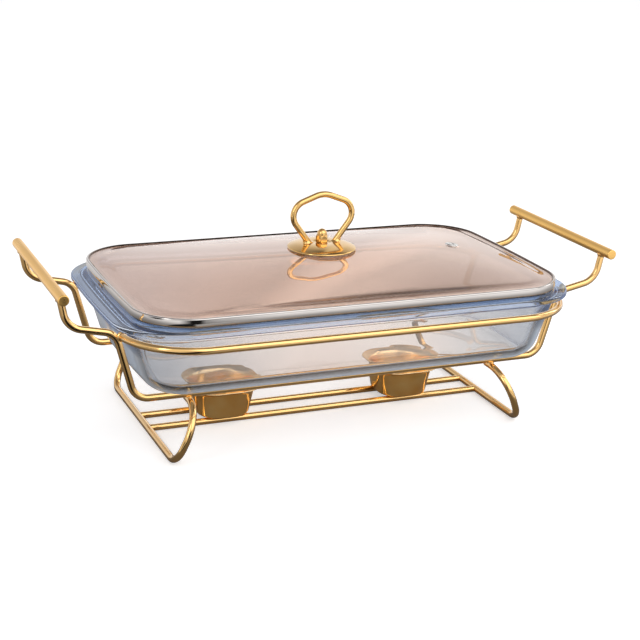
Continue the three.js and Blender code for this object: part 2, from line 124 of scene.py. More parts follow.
def bent(corners, step=math.radians(5)):
    """Points along straight runs with an arc at each inner corner, from (corner, bend radius) pairs."""
    points = [Vector(corners[0][0])]
    for i in range(1, len(corners) - 1):
        at, bend = Vector(corners[i][0]), corners[i][1]
        back = (Vector(corners[i - 1][0]) - at).normalized()
        ahead = (Vector(corners[i + 1][0]) - at).normalized()
        half = back.angle(ahead) / 2
        middle = (back + ahead).normalized()
        centre = at + middle * (bend / math.sin(half))
        side = (ahead - back).normalized()
        turn = math.pi / 2 - half
        steps = math.ceil(2 * turn / step)
        for k in range(steps + 1):
            angle = turn * (2 * k / steps - 1)
            points.append(centre + (side * math.sin(angle) - middle * math.cos(angle)) * bend)
    points.append(Vector(corners[-1][0]))
    return points


def mirrored(half, middle=()):
    """Corners of a whole piece from those of its right half, from its end inwards, and any at its middle."""
    return [((-x, y, z), bend) for (x, y, z), bend in half] + list(middle) + half[::-1]


def even(points, most=12.0):
    """The same points with long runs split, so that no face along them is long and thin."""
    out = [points[0]]
    for a, b in zip(points, points[1:]):
        pieces = max(1, math.ceil((b - a).length / most))
        out.extend(a.lerp(b, k / pieces) for k in range(1, pieces + 1))
    return out


def inward(path, end):
    """The way into a path from its first point (end 0) or its last one (end -1)."""
    return ((path[1] - path[0]) if end == 0 else (path[-2] - path[-1])).normalized()


def tube(points, radius, sides=32, chamfer=0.5):
    """Rings along a path, with softened ends."""
    tangents = []
    for i in range(len(points)):
        before, after = points[max(i - 1, 0)], points[min(i + 1, len(points) - 1)]
        tangents.append((after - before).normalized())
    normal = tangents[0].orthogonal().normalized()
    stations = []
    for i, (point, tangent) in enumerate(zip(points, tangents)):
        if i:
            normal = tangents[i - 1].rotation_difference(tangent) @ normal
        stations.append((point, normal.copy(), tangent.cross(normal).normalized(), tangent))

    def circle(station, ahead=0.0, shrink=0.0):
        point, first, second, tangent = station
        angles = [TURN * k / sides for k in range(sides)]
        return [tuple(point + tangent * ahead + (first * math.cos(a) + second * math.sin(a)) * (radius - shrink))
                for a in angles]

    softened = [(0.0, chamfer), (chamfer * 0.3, chamfer * 0.3), (chamfer, 0.0)]
    rings = [[tuple(points[0])]]
    rings += [circle(stations[0], ahead, shrink) for ahead, shrink in softened]
    rings += [circle(station) for station in stations[1:-1]]
    rings += [circle(stations[-1], -ahead, shrink) for ahead, shrink in softened[::-1]]
    rings += [[tuple(points[-1])]]
    return rings


def turned(profile, sides, matrix=None):
    """Rings about an axis from (radius, height) points. A radius of 0 closes an end."""
    rings = []
    for radius, height in profile:
        if radius == 0:
            ring = [Vector((0, 0, height))]
        else:
            angles = [TURN * k / sides for k in range(sides)]
            ring = [Vector((radius * math.cos(a), radius * math.sin(a), height)) for a in angles]
        rings.append([tuple(matrix @ p if matrix else p) for p in ring])
    return rings


def rounded(profile, radius, steps=5):
    """A profile whose inner points become small arcs."""
    out = [profile[0]]
    for a, b, c in zip(profile, profile[1:], profile[2:]):
        pa, pb, pc = Vector(a), Vector(b), Vector(c)
        back, ahead = pa - pb, pc - pb
        cutoff = min(radius, back.length * 0.45, ahead.length * 0.45)
        if back.length < 1e-6 or ahead.length < 1e-6 or cutoff < 0.02:
            out.append(b)
            continue
        start, end = pb + back.normalized() * cutoff, pb + ahead.normalized() * cutoff
        for k in range(steps + 1):
            t = k / steps
            out.append(tuple(start * (1 - t) ** 2 + pb * 2 * t * (1 - t) + end * t * t))
    out.append(profile[-1])
    return out


def arc(at, radius, start, end, steps=5):
    """Points of an arc about a centre, from one angle to another in degrees, as (inset, height)."""
    angles = [math.radians(start + (end - start) * k / steps) for k in range(steps + 1)]
    return [(at[0] - radius * math.cos(a), at[1] + radius * math.sin(a)) for a in angles]


def floor_arc(radius, lean, centre_inset, centre_z, steps=8):
    """The bend from a vessel's floor up to its leaning wall, as (inset, height)."""
    angles = [(math.pi / 2 - lean) * k / steps for k in range(steps + 1)]
    return [(centre_inset - radius * math.sin(a), centre_z - radius * math.cos(a)) for a in angles]


def oblong(length, width, corner, bow=0.0, least=0.0, corner_steps=20, long_steps=30, short_steps=18):
    """A rectangle with round corners, whose radius never drops under the least one, and bowed short sides."""
    return dict(length=length, width=width, corner=corner, bow=bow, least=least,
                corner_steps=corner_steps, long_steps=long_steps, short_steps=short_steps)


def outline(shape, inset):
    """Points round an oblong that is drawn in by an inset."""
    x, y = shape["length"] / 2 - inset, shape["width"] / 2 - inset
    radius = max(shape["corner"] - inset, shape["least"])
    arcs = []
    for quarter, (sx, sy) in enumerate([(1, 1), (-1, 1), (-1, -1), (1, -1)]):
        angles = [(quarter + k / shape["corner_steps"]) * math.pi / 2 for k in range(shape["corner_steps"] + 1)]
        arcs.append([(sx * (x - radius) + radius * math.cos(a), sy * (y - radius) + radius * math.sin(a))
                     for a in angles])
    points = []
    for quarter, corner in enumerate(arcs):
        points.extend(corner)
        steps = shape["long_steps"] if quarter % 2 == 0 else shape["short_steps"]
        (ax, ay), (bx, by) = corner[-1], arcs[(quarter + 1) % 4][0]
        points.extend((ax + (bx - ax) * k / steps, ay + (by - ay) * k / steps) for k in range(1, steps))
    return [(px + math.copysign(shape["bow"] * (1 - (py / y) ** 2), px), py) for px, py in points]


def level(shape, inset, z):
    return [(x, y, z) for x, y in outline(shape, inset)]


# ---------------------------------------------------------------- shader nodes
def nodes_of(name):
    material = bpy.data.materials.new(name)
    material.use_nodes = True
    tree = material.node_tree
    return material, tree, tree.nodes["Principled BSDF"]


def put(tree, value, socket):
    """Gives a socket a fixed value or a link from another socket."""
    if isinstance(value, bpy.types.NodeSocket):
        tree.links.new(value, socket)
    else:
        socket.default_value = value


def worked(tree, operation, *values, clamp=False):
    node = tree.nodes.new("ShaderNodeMath")
    node.operation = operation
    node.use_clamp = clamp
    for value, socket in zip(values, node.inputs):
        put(tree, value, socket)
    return node.outputs[0]


def vector_worked(tree, operation, *values):
    """Outputs of a vector node: "Vector", or "Value" where the operation gives a number."""
    node = tree.nodes.new("ShaderNodeVectorMath")
    node.operation = operation
    for value, socket in zip(values, node.inputs):
        put(tree, value, socket)
    return node.outputs


def ranged(tree, value, low, high, to_low, to_high):
    node = tree.nodes.new("ShaderNodeMapRange")
    node.inputs["From Min"].default_value = low
    node.inputs["From Max"].default_value = high
    node.inputs["To Min"].default_value = to_low
    node.inputs["To Max"].default_value = to_high
    tree.links.new(value, node.inputs["Value"])
    return node.outputs["Result"]


def inverse(tree, share):
    return ranged(tree, share, 0, 1, 1, 0)


def mixed(tree, factor, first, second):
    """A colour between two, each a tuple or a socket."""
    node = tree.nodes.new("ShaderNodeMix")
    node.data_type = "RGBA"
    tree.links.new(factor, node.inputs["Factor"])
    for socket, colour in (("A", first), ("B", second)):
        target = [i for i in node.inputs if i.name == socket and i.type == "RGBA"][0]
        put(tree, (*colour, 1) if isinstance(colour, tuple) else colour, target)
    return [o for o in node.outputs if o.type == "RGBA"][0]


def object_place(tree):
    return tree.nodes.new("ShaderNodeTexCoord").outputs["Object"]


def mapped(tree, vector, scale, location=(0, 0, 0)):
    node = tree.nodes.new("ShaderNodeMapping")
    node.inputs["Location"].default_value = location
    node.inputs["Scale"].default_value = scale
    tree.links.new(vector, node.inputs["Vector"])
    return node.outputs["Vector"]


def parts(tree, vector):
    """The "X", "Y" and "Z" of a vector."""
    node = tree.nodes.new("ShaderNodeSeparateXYZ")
    tree.links.new(vector, node.inputs[0])
    return node.outputs


def facing_up(tree):
    """The upward part of the surface's normal."""
    return parts(tree, tree.nodes.new("ShaderNodeNewGeometry").outputs["Normal"])["Z"]


def noise(tree, scale, detail=3.0, rough=0.5, stretch=(1, 1, 1)):
    texture = tree.nodes.new("ShaderNodeTexNoise")
    texture.inputs["Scale"].default_value = scale
    texture.inputs["Detail"].default_value = detail
    texture.inputs["Roughness"].default_value = rough
    tree.links.new(mapped(tree, object_place(tree), stretch), texture.inputs["Vector"])
    return texture.outputs["Fac"]


def bump(tree, height, target, distance, strength=1.0):
    """Adds a bump to a Normal socket, and gives the new bump's own Normal socket."""
    node = tree.nodes.new("ShaderNodeBump")
    node.inputs["Strength"].default_value = strength
    node.inputs["Distance"].default_value = distance
    tree.links.new(height, node.inputs["Height"])
    tree.links.new(node.outputs["Normal"], target)
    return node.inputs["Normal"]


def drifting_colour(tree, shader, drift, first, second):
    tree.links.new(mixed(tree, ranged(tree, drift, 0.3, 0.7, 0, 1), first, second), shader.inputs["Base Color"])


def colour_so_far(material):
    """A material's tree and shader, and the socket that its colour comes from."""
    shader = material.node_tree.nodes["Principled BSDF"]
    return material.node_tree, shader, shader.inputs["Base Color"].links[0].from_socket


# ---------------------------------------------------------------- materials
def metal(name, first, second, rough, grain=0.05, scale=60.0, stretch=(1, 1, 1), lacquer=0.0, waves=0.0):
    """A plated metal: a slow drift in colour, patches in its polish, fine marks, and waves in pressed sheet."""
    material, tree, shader = nodes_of(name)
    shader.inputs["Metallic"].default_value = 1.0
    drifting_colour(tree, shader, noise(tree, 40.0 if waves else 14.0, 2.0), first, second)
    patches = noise(tree, scale, 4.0, 0.6, stretch)
    tree.links.new(ranged(tree, patches, 0.3, 0.75, *rough), shader.inputs["Roughness"])
    marks = noise(tree, scale * 9, 3.0, 0.6, stretch)
    under_marks = bump(tree, marks, shader.inputs["Normal"], 0.00006, grain)
    if waves:
        bump(tree, noise(tree, 34.0, 0.0), under_marks, waves)
    if lacquer:
        shader.inputs["Coat Weight"].default_value = lacquer
        shader.inputs["Coat Roughness"].default_value = 0.08
        shader.inputs["Coat IOR"].default_value = 1.8
    return material


def glass(name, first, second, rough):
    """Pressed glass with slow waves in its surface."""
    material, tree, shader = nodes_of(name)
    shader.inputs["Transmission Weight"].default_value = 1.0
    shader.inputs["IOR"].default_value = 1.47
    drifting_colour(tree, shader, noise(tree, 9.0, 2.0), first, second)
    smear = noise(tree, 26.0, 5.0, 0.65)
    tree.links.new(ranged(tree, smear, 0.45, 0.8, *rough), shader.inputs["Roughness"])
    bump(tree, noise(tree, 16.0, 1.0), shader.inputs["Normal"], 0.0001)
    return material


def silicone_rubber(name, first, second):
    material, tree, shader = nodes_of(name)
    drift = noise(tree, 120.0, 4.0)
    drifting_colour(tree, shader, drift, first, second)
    tree.links.new(ranged(tree, drift, 0.3, 0.7, 0.45, 0.6), shader.inputs["Roughness"])
    bump(tree, drift, shader.inputs["Normal"], 0.0001, 0.2)
    return material


def absorb(material, colour, density):
    """A tint that deepens with the glass's thickness."""
    tree = material.node_tree
    volume = tree.nodes.new("ShaderNodeVolumeAbsorption")
    volume.inputs["Color"].default_value = (*colour, 1)
    volume.inputs["Density"].default_value = density
    tree.links.new(volume.outputs["Volume"], tree.nodes["Material Output"].inputs["Volume"])


def tint_dish(material):
    """The dish's glass is bluer at its flange, greyer towards its ends, and cloudy where it is seen edge on. Its
    mouth, under the rim, is painted dark: a painted shadow of the rim.
    """
    # Heights over the floor in metres, from where a change starts to where it ends
    on_floor, on_wall, under_flange, at_mouth, over_mouth = (
        (0.066, 0.070), (0.088, 0.104), (0.1125, 0.1145), (0.1180, 0.1190), (0.1184, 0.1190))
    # The two darkest blues, for the mouth under the rim, are painted shadow of the rim
    heel_blue, flange_blue, rim_shadow_edge_on = (0.72, 0.84, 1.0), (0.12, 0.25, 0.60), (0.02, 0.05, 0.15)
    end_grey, pale_flange, rim_shadow_face_on = (0.66, 0.675, 0.70), (0.62, 0.73, 0.93), (0.10, 0.18, 0.36)
    streak_share = 0.72
    tree, shader, plain = colour_so_far(material)
    place = parts(tree, object_place(tree))

    def by_height(span, below, above):
        return mixed(tree, ranged(tree, place["Z"], *span, 0, 1), below, above)

    weight = tree.nodes.new("ShaderNodeLayerWeight")
    weight.inputs["Blend"].default_value = 0.5
    edge_on = ranged(tree, weight.outputs["Facing"], 0.38, 0.75, 0, 1)
    flat = worked(tree, "ABSOLUTE", facing_up(tree))
    floor_face = worked(tree, "MULTIPLY", ranged(tree, flat, 0.96, 0.995, 0, 0.9),
                        ranged(tree, place["Z"], *on_floor, 1, 0))
    edge_on = worked(tree, "MULTIPLY", edge_on, inverse(tree, floor_face))

    streak = ranged(tree, noise(tree, 7.0, 1.0, 0.5, (1, 1, 9)), 0.55, 0.66, 0, 1)
    streaked = mixed(tree, streak, heel_blue, tuple(c * streak_share for c in heel_blue))
    # Edge on, the mouth's dark blue is painted shadow of the rim
    edge_tint = by_height(over_mouth, by_height(on_wall, streaked, flange_blue), rim_shadow_edge_on)
    aside = ranged(tree, worked(tree, "ABSOLUTE", place["X"]), 0.06, 0.17, 0, 1)
    face_tint = mixed(tree, aside, plain, end_grey)
    # Face on, the mouth's dark blue is painted shadow of the rim
    face_tint = by_height(at_mouth, by_height(under_flange, face_tint, pale_flange), rim_shadow_face_on)
    tree.links.new(mixed(tree, edge_on, face_tint, edge_tint), shader.inputs["Base Color"])

    cloudy = worked(tree, "MULTIPLY", edge_on, ranged(tree, place["Z"], *on_wall, 0.8, 0.4))
    cloudy = worked(tree, "MULTIPLY", cloudy, ranged(tree, flat, 0.96, 0.995, 1, 0.2))
    tree.links.new(inverse(tree, cloudy), shader.inputs["Transmission Weight"])


def satin_and_painted_light(material, colour):
    """Surfaces that face up are satin, and painted paler as painted light: the lit inside of a cup and its lip.
    """
    tree, shader, plain = colour_so_far(material)
    inside = ranged(tree, facing_up(tree), 0.02, 0.10, 0, 1)
    # The paler colour on faces that face up is painted light
    tree.links.new(mixed(tree, inside, plain, colour), shader.inputs["Base Color"])
    tree.links.new(ranged(tree, inside, 0, 1, 0.09, 0.25), shader.inputs["Roughness"])


def painted_dark_reflection(material, top):
    """The rolled edge of the rim over the pane, just under the rim's top, is painted dark: a painted reflection
    of a dark ceiling.
    """
    tree, shader, plain = colour_so_far(material)
    height = parts(tree, object_place(tree))["Z"]
    mirrored_dark_band = worked(tree, "MULTIPLY", ranged(tree, facing_up(tree), 0.76, 0.82, 0, 1),
                  ranged(tree, height, (top - 0.16) * MM, (top - 0.10) * MM, 1, 0))
    # This dark brown is a painted reflection
    tree.links.new(mixed(tree, mirrored_dark_band, plain, (0.15, 0.10, 0.08)), shader.inputs["Base Color"])


rack_gold = metal("rack_gold", (0.87, 0.52, 0.15), (0.92, 0.56, 0.18), (0.11, 0.14), 0.01, lacquer=1.0)
grip_gold = metal("grip_gold", (0.97, 0.58, 0.17), (1.0, 0.62, 0.20), (0.26, 0.38), 0.2, 90.0, (3, 0.4, 3))
cup_gold = metal("cup_gold", (0.90, 0.50, 0.14), (1.0, 0.70, 0.28), (0.07, 0.12), 0.01, waves=0.008)
# The cup's paler inside is painted light; its satin roughness is its finish
satin_and_painted_light(cup_gold, (1.0, 0.74, 0.42))
knob_gold = metal("knob_gold", (0.80, 0.49, 0.16), (0.85, 0.54, 0.19), (0.10, 0.14), 0.01, lacquer=0.4)
rim_steel = metal("rim_steel", (0.62, 0.59, 0.57), (0.68, 0.65, 0.63), (0.06, 0.11), 0.01)
# The rim's rolled edge gets a painted dark reflection
painted_dark_reflection(rim_steel, RIM_Z + RIM_H)
fitting_steel = metal("fitting_steel", (0.68, 0.67, 0.66), (0.76, 0.75, 0.74), (0.10, 0.20))
dish_glass = glass("dish_glass", (1.0, 0.91, 0.86), (1.0, 0.95, 0.91), (0.0, 0.01))
tint_dish(dish_glass)
absorb(dish_glass, (0.40, 0.50, 0.62), 5.0)
lid_glass = glass("lid_glass", (0.90, 0.665, 0.56), (0.93, 0.695, 0.59), (0.0, 0.02))
# The lid's amber coating mirrors like a thin film of metal
lid_glass.node_tree.nodes["Principled BSDF"].inputs["Metallic"].default_value = 0.5
silicone = silicone_rubber("silicone", (0.80, 0.78, 0.75), (0.86, 0.84, 0.81))


# ---------------------------------------------------------------- rack
def rack_wire(node, path, radius=WIRE):
    verts, faces = skin(tube(path, radius))
    make(f"{node}_smooth", verts, faces, rack_gold, "rack", node, 50)


def weld(name, at, direction, radius=WIRE, reach=2.0, spread=1.1):
    """A small concave bead round a wire where it meets another piece."""
    spin = Vector((0, 0, 1)).rotation_difference(Vector(direction).normalized()).to_matrix().to_4x4()
    place = Matrix.Translation(Vector(at)) @ spin
    inner, foot, steps = radius - 0.4, radius + spread, 6
    profile = [(inner, -1.2), (foot, -1.2), (foot, -0.4)]
    profile += [(radius + spread * (1 - k / steps) ** 2.2, reach * k / steps) for k in range(steps + 1)]
    profile += [(inner, reach)]
    verts, faces = skin(turned(profile, 32, place), closed=True)
    make(name, verts, faces, rack_gold, "rack", smooth=60)


def long_wire(word, y):
    half = [((GRIP_X, y, GRIP_Z), 0), ((ELBOW_X, y, ELBOW_Z), ELBOW_BEND),
            ((SADDLE_X, y, SADDLE_Z), SADDLE_BEND), ((CRADLE_X, y, CRADLE_Z), CRADLE_BEND)]
    rack_wire(f"{word}_long_wire", even(bent(mirrored(half))))
    for end, name in ((-1, "left"), (1, "right")):
        way = Vector(((ELBOW_X - GRIP_X) * end, 0, ELBOW_Z - GRIP_Z)).normalized()
        top = Vector((GRIP_X * end, y, GRIP_Z)) + way * (GRIP_R - SEAT)
        weld(f"{word}_{name}_grip_weld", top, way, reach=1.8, spread=0.9)


def gallery_rail(word, side):
    half = [((GALLERY_END_X, side * LONG_Y, GALLERY_Z), 0),
            ((GALLERY_CORNER_X, side * GALLERY_Y, GALLERY_Z), GALLERY_BEND)]
    path = even(bent(mirrored(half), math.radians(3)))
    rack_wire(f"{word}_gallery_rail", path)
    for end, name in ((0, "left"), (-1, "right")):
        way = inward(path, end)
        weld(f"{word}_{name}_gallery_weld", path[end] + way * (WIRE - 0.2), way)


def candle_rail(word, y):
    path = even([Vector((-FLOOR_BAR_X, y, RAIL_Z)), Vector((FLOOR_BAR_X, y, RAIL_Z))])
    rack_wire(f"{word}_candle_rail", path, RAIL_R)
    for end, name in ((-1, "left"), (1, "right")):
        at = (end * (FLOOR_BAR_X - WIRE + SEAT), y, WIRE)
        weld(f"{word}_{name}_floor_weld", at, (-end, 0, 0), RAIL_R, reach=1.8, spread=0.0)


def leg_frame(word, side):
    """A floor bar and its two sides, which bulge out, lean in and pass under the long wires."""
    def leaning(y, z):
        return (side * (FLOOR_BAR_X - (z - WIRE) * LEG_LEAN), y, z)

    half = [(leaning(LEG_Y, WIRE), LEG_FLOOR_BEND), (leaning(LEG_BULGE_Y, LEG_TOP_Z), LEG_TOP_BEND),
            (leaning(LEG_TOP_Y, LEG_TOP_Z), 0)]
    corners = [((x, -y, z), bend) for (x, y, z), bend in half[::-1]] + half
    rack_wire(f"{word}_leg_frame", even(bent(corners)))
    bead_r, bead_h, bead_z, squash = 2.3, 2.2, 50.05, 0.55
    angles = [math.radians(a) for a in range(-75, 76, 15)]
    profile = [(0, -bead_h)] + [(bead_r * math.cos(a), bead_h * math.sin(a)) for a in angles] + [(0, bead_h)]
    for end, name in ((-1, "front"), (1, "rear")):
        x = leaning(0, LEG_TOP_Z)[0]
        place = Matrix.Translation((x, end * LONG_Y, bead_z)) @ Matrix.Diagonal((1, 1, squash, 1))
        verts, faces = skin(turned(profile, 24, place))
        make(f"{name}_{word}_leg_weld", verts, faces, rack_gold, "rack", smooth=60)


def grip(word, side):
    spin = Matrix.Translation((side * GRIP_X, 0, GRIP_Z)) @ Matrix.Rotation(math.pi / 2, 4, "X")
    profile = rounded([(0, -GRIP_HALF), (GRIP_R, -GRIP_HALF), (GRIP_R, GRIP_HALF), (0, GRIP_HALF)], 0.9)
    middle, steps = len(profile) // 2, 16
    length = 2 * GRIP_HALF - 4
    long_run = [(GRIP_R, -length / 2 + length * k / steps) for k in range(steps + 1)]
    verts, faces = skin(turned(profile[:middle] + long_run + profile[middle:], 48, spin))
    make(f"{word}_grip_smooth", verts, faces, grip_gold, "rack", f"{word}_grip", 40)


for side, word in ((-1, "front"), (1, "rear")):
    long_wire(word, side * LONG_Y)
    gallery_rail(word, side)
    candle_rail(word, side * RAIL_Y)

for side, word in ((-1, "left"), (1, "right")):
    leg_frame(word, side)
    grip(word, side)


# ---------------------------------------------------------------- candle cups
def cup(word, x):
    """A pressed cup. Its rings run from under its floor's middle, over its lip, to its floor's middle."""
    base_w, neck_w, mouth_w, corner = 47.0, 54.5, 64.0, 22.5
    height, neck_h, sheet, bend = 26.6, 21.0, 1.0, 3.0
    lean = math.atan((neck_w - base_w) / 2 / neck_h)
    arc_inset = (neck_w - base_w) / 2 + bend
    # How far the wall has flared out and risen, as shares of the way from neck to mouth
    flare = [(0, 0), (0.04, 0.2), (0.12, 0.38), (0.24, 0.56), (0.42, 0.75), (0.66, 0.9), (0.86, 0.97)]

    def ring(width, inset, z):
        return level(oblong(width, width, corner, corner_steps=14, long_steps=4, short_steps=4), inset, z)

    def flare_rings(inset, lift):
        return [ring(neck_w + out * (mouth_w - neck_w), inset,
                     CUP_Z + neck_h + up * (height - sheet - neck_h) + lift) for out, up in flare]

    outer, inner = ([ring(neck_w, i, z) for i, z in floor_arc(radius, lean, arc_inset, CUP_Z + bend)]
                    for radius in (bend, bend - sheet))
    lip = [ring(mouth_w, sheet / 2 * (1 - math.sin(a)), CUP_Z + height - sheet / 2 - sheet / 2 * math.cos(a))
           for a in [math.pi * k / 8 for k in range(9)]]
    rings = [[(0, 0, CUP_Z)]] + outer + flare_rings(0, 0) + lip + flare_rings(sheet, sheet / 2)[::-1]
    rings += inner[::-1] + [[(0, 0, CUP_Z + sheet)]]
    verts, faces = skin(rings)
    make(f"{word}_candle_cup_smooth", verts, faces, cup_gold, f"{word}_cup",
         f"{word}_candle_cup", 45, x)


cup("left", LEFT_CUP_X)
cup("right", RIGHT_CUP_X)

# ---------------------------------------------------------------- dish
LID = oblong(375.6, 224.0, 45.6, 3.1, 12.0)
MOUTH = oblong(374.0, 222.4, 44.8, 3.1)
FLANGE = oblong(403.2, 224.4, 48.9, 3.8)
DISH = oblong(382.0, 216.0, 44.7, 3.0)


def see_through(obj):
    """No shadow and no mirror image: light's path through two glasses would end in black patches."""
    obj.visible_shadow = False
    obj.visible_glossy = False


def glass_dish():
    """Its rings run from under its floor's middle, over its flange and mouth, to its floor's middle."""
    lean = math.radians(16.5)
    slope = math.tan(lean)
    glass_t, heel, fillet, edge, mouth_t, mouth_r, run_steps, fillet_steps = 5.5, 21.0, 3.0, 1.6, 8.0, 0.8, 6, 5
    arc_z = DISH_Z + heel
    foot = arc_z - heel * math.sin(lean)
    arc_inset = (FLANGE_Z - foot) * slope + heel * math.cos(lean)

    def run(start, end, steps):
        (i, z), (to_i, to_z) = start, end
        return [(DISH, i + (to_i - i) * k / run_steps, z + (to_z - z) * k / run_steps) for k in steps]

    outer = floor_arc(heel, lean, arc_inset, arc_z, 12)
    rows = [(DISH, i, z) for i, z in outer]
    rows += run(outer[-1], (fillet * slope, FLANGE_Z - fillet), range(1, run_steps + 1))
    for k in range(1, fillet_steps + 1):
        share = k / fillet_steps
        angle = math.pi / 2 * share
        rows.append((DISH, fillet * slope * (1 - share) - fillet * (1 - math.cos(angle)),
                     FLANGE_Z - fillet + fillet * math.sin(angle)))
    rows += [(FLANGE, i, z) for i, z in arc((edge, FLANGE_Z + edge), edge, -90, 0)
             + arc((edge, FLANGE_TOP - edge), edge, 0, 90)]
    rows += [(MOUTH, -0.9, FLANGE_TOP), (MOUTH, -0.3, FLANGE_TOP + 0.3), (MOUTH, 0, FLANGE_TOP + 0.9)]
    rows += [(MOUTH, i, z) for i, z in arc((mouth_r, MOUTH_Z - mouth_r), mouth_r, 0, 90)
             + arc((mouth_t - mouth_r, MOUTH_Z - mouth_r), mouth_r, 90, 180)]
    inner = floor_arc(heel - glass_t, lean, arc_inset, arc_z, 12)
    rows += run((glass_t / math.cos(lean), FLANGE_Z), inner[-1], range(run_steps))
    rows += [(DISH, i, z) for i, z in inner[::-1]]
    rings = [[(0, 0, DISH_Z)]] + [level(s, i, z) for s, i, z in rows] + [[(0, 0, DISH_Z + glass_t)]]
    verts, faces = skin(rings)
    obj = make("glass_dish_smooth", verts, faces, dish_glass, "dish", "glass_dish", 50, DISH_SHIFT)
    see_through(obj)


glass_dish()

# ---------------------------------------------------------------- lid
EDGE_FLAT, EDGE_CURVE = 3, 14


def rise(x, y, inset):
    """How far the pane has risen at a point: it swells from its flat edge to its crown."""
    along = 1 - min(abs(x) / (LID["length"] / 2), 1) ** 2.4
    across = math.cos(min(abs(y) / (LID["width"] / 2), 1) * math.pi / 2)
    t = min(max((inset - EDGE_FLAT) / EDGE_CURVE, 0), 1)
    return CROWN * along * across * t * t * (3 - 2 * t)


def pane_rings(z):
    """Rings from the pane's edge to the knob's hole, at the height of the pane's flat edge."""
    curved = EDGE_FLAT + EDGE_CURVE
    insets = [1.1, EDGE_FLAT] + [EDGE_FLAT + EDGE_CURVE * k / 10 for k in range(1, 11)]
    insets += [curved + 35.8 * k / 8 for k in range(1, 9)]
    rings = [[(x, y, z + rise(x, y, i)) for x, y in outline(LID, i)] for i in insets]
    last = insets[-1]
    inmost = outline(LID, last)
    for share in (0.93, 0.86, 0.78, 0.7, 0.61, 0.52, 0.43, 0.34, 0.25, 0.17, 0.1):
        rings.append([(x * share, y * share, z + rise(x * share, y * share, last)) for x, y in inmost])
    hole = [Vector(p).normalized() * HOLE_R for p in inmost]
    rings.append([(p.x, p.y, z + rise(p.x, p.y, last)) for p in hole])
    return rings


def vent_matrix():
    """The vent's place on top of the pane, square to the glass."""
    def on_axis(x):
        return rise(x, 0, LID["length"] / 2 - x)

    slope = (on_axis(VENT_X + 4) - on_axis(VENT_X - 4)) / 8
    tilt = Matrix.Rotation(-math.atan(slope), 4, "Y")
    return Matrix.Translation((VENT_X, 0, PANE_Z + PANE_T + on_axis(VENT_X))) @ tilt


def lid_pane():
    verts, faces = skin(pane_rings(PANE_Z)[::-1] + pane_rings(PANE_Z + PANE_T), closed=True)
    obj = make("lid_pane_smooth", verts, faces, lid_glass, "lid", "lid_pane", 40, DISH_SHIFT)
    drill_verts, drill_faces = skin(turned([(0, -9), (HOLE_R, -9), (HOLE_R, 4), (0, 4)], 40, vent_matrix()))
    drill = make("drill", drill_verts, drill_faces, lid_glass, "lid", shift=DISH_SHIFT)
    cutter = obj.modifiers.new("vent", "BOOLEAN")
    cutter.operation = "DIFFERENCE"
    cutter.solver = "EXACT"
    cutter.object = drill
    bpy.context.view_layer.update()
    evaluated = obj.evaluated_get(bpy.context.evaluated_depsgraph_get())
    mesh = bpy.data.meshes.new_from_object(evaluated)
    obj.modifiers.clear()
    obj.data = mesh
    see_through(obj)
    bpy.data.objects.remove(drill)


def lid_rim():
    """A folded sheet: under the pane's edge, round it, and over it down to the glass."""
    low, high, sheet = RIM_Z, RIM_Z + RIM_H, 0.8
    under_r, over_r, under_reach = 1.7, 1.1, 4.0
    profile = [(under_reach, low), (under_r, low)]
    profile += arc((under_r, low + under_r), under_r, -90, -12, 6)
    profile += [(0.0, low + RIM_H / 2)]
    profile += arc((over_r, high - over_r), over_r, 12, 90, 6)
    profile += [(inset, high - drop) for inset, drop in (
        (1.4, 0.04), (1.7, 0.13), (2.1, 0.34), (2.5, 0.58), (2.9, 0.84),
        (3.05, 0.9), (3, 0.97), (2.4, 0.9), (1.8, sheet), (sheet, sheet))]
    profile += [(sheet, low + sheet), (under_reach, low + sheet), (under_reach + 0.1, low + sheet / 2)]
    verts, faces = skin([level(LID, inset, z) for inset, z in profile], closed=True)
    make("lid_rim_smooth", verts, faces, rim_steel, "lid", "lid_rim", 38, DISH_SHIFT)


def vent_eyelet():
    """A rivet of two flanges that grip the pane, about an open bore."""
    bore, shank, foot, head = 1.8, 3.0, 6.0, 6.0
    profile = [(bore, -6.3), (foot - 0.9, -6.3), (foot, -5.4), (shank, -5.4), (shank, 0.4), (head, 0.4),
               (head - 0.2, 0.85), (head - 0.7, 1.2), (head - 1.6, 1.3), (bore + 0.7, 1.3), (bore + 0.2, 1.0),
               (bore, 0.5)]
    verts, faces = skin(turned(profile, 40, vent_matrix()), closed=True)
    make("vent_eyelet_smooth", verts, faces, fitting_steel, "lid", "vent_eyelet", 50, DISH_SHIFT)


def silicone_ring(node, outer, bottom, top):
    profile = rounded([(HOLE_R, bottom), (outer, bottom), (outer, top), (HOLE_R, top)], 0.3, 3)
    verts, faces = skin(turned(profile, 56), closed=True)
    make(f"{node}_smooth", verts, faces, silicone, "lid", node, 50, DISH_SHIFT)


lid_pane()
lid_rim()
vent_eyelet()
silicone_ring("knob_washer", 9, PANE_Z + CROWN - 1.8, PANE_Z + CROWN - SEAT)
silicone_ring("knob_gasket", 19, PANE_TOP + SEAT, PANE_TOP + 1.6)


# ---------------------------------------------------------------- knob
def dome(reach):
    """Height of the plate's top over its foot, at a distance from the axis."""
    share = min(max((reach - PLATE_FLAT_R) / (PLATE_R - PLATE_FLAT_R), 0), 1)
    return PLATE_T - (PLATE_T - 1.1) * share ** 2.25


